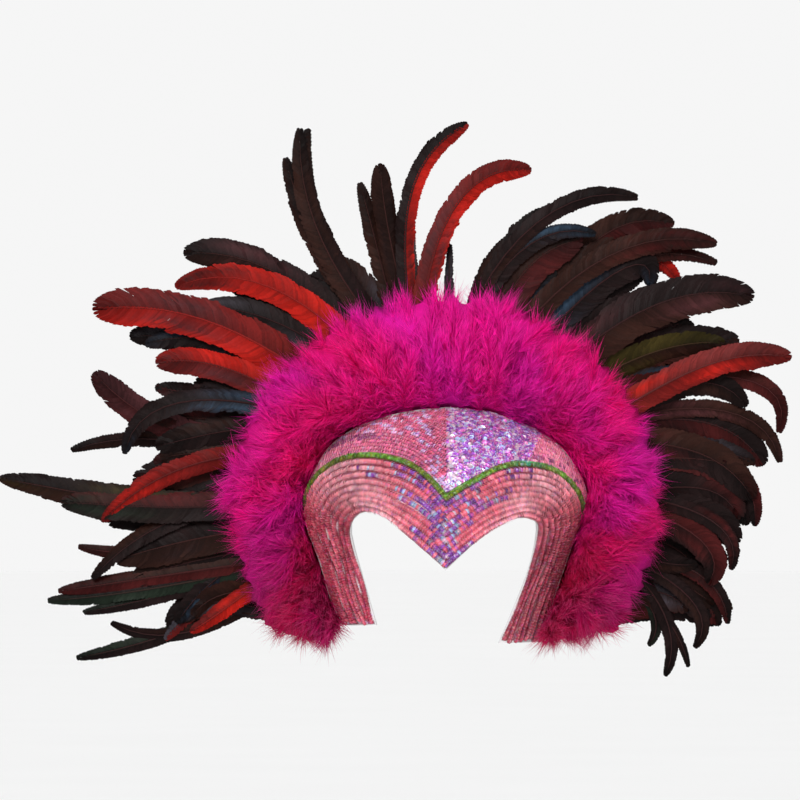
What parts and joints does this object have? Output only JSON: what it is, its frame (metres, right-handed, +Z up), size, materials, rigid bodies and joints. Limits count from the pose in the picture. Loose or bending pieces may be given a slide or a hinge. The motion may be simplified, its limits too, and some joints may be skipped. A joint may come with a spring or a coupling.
{
  "type": "carnival feather headdress",
  "caption": "Stiff sequinned face-frame crown with a brow point and two side legs, ringed by a fluffy down ruff and a fan of long curved feathers.",
  "frame": {"origin": "where the head sits: midway between the crown's two legs, level with the brow tip, in the upright plane of the feather fan", "axes": "+Z up the head, -Y out of the face, +X across the fan"},
  "size_m": [0.59, 0.1253, 0.4119],
  "materials": {
    "crown_base": "stiffened off-white buckram, matt, showing along the rim, the face edge and inside",
    "coral_sequins": "coral pink sequin string in close rows, glossy with small highlights",
    "green_sequins": "leaf green sequin string, one raised row",
    "lilac_sequins": "lilac sequins with a shifting silver and blue shine",
    "marabou_down": "soft dyed down, hot magenta with violet and crimson parts",
    "tail_plumes": "long tail feathers, black-brown and maroon to bright red, with a blue-green sheen on the dark ones"
  },
  "bodies": {
    "root": {"crown_base": "crown_base", "sequin_rows": "coral_sequins", "green_band": "green_sequins", "upper_sequins_left": "coral_sequins", "lilac_inlay": "lilac_sequins", "upper_sequins_right": "coral_sequins", "ruff_left_low": "marabou_down", "ruff_left": "marabou_down", "ruff_top": "marabou_down", "ruff_right": "marabou_down", "ruff_right_low": "marabou_down", "plumes_left_low": "tail_plumes", "plumes_left": "tail_plumes", "plumes_top": "tail_plumes", "plumes_right": "tail_plumes", "plumes_right_low": "tail_plumes"}
  },
  "joints": []
}
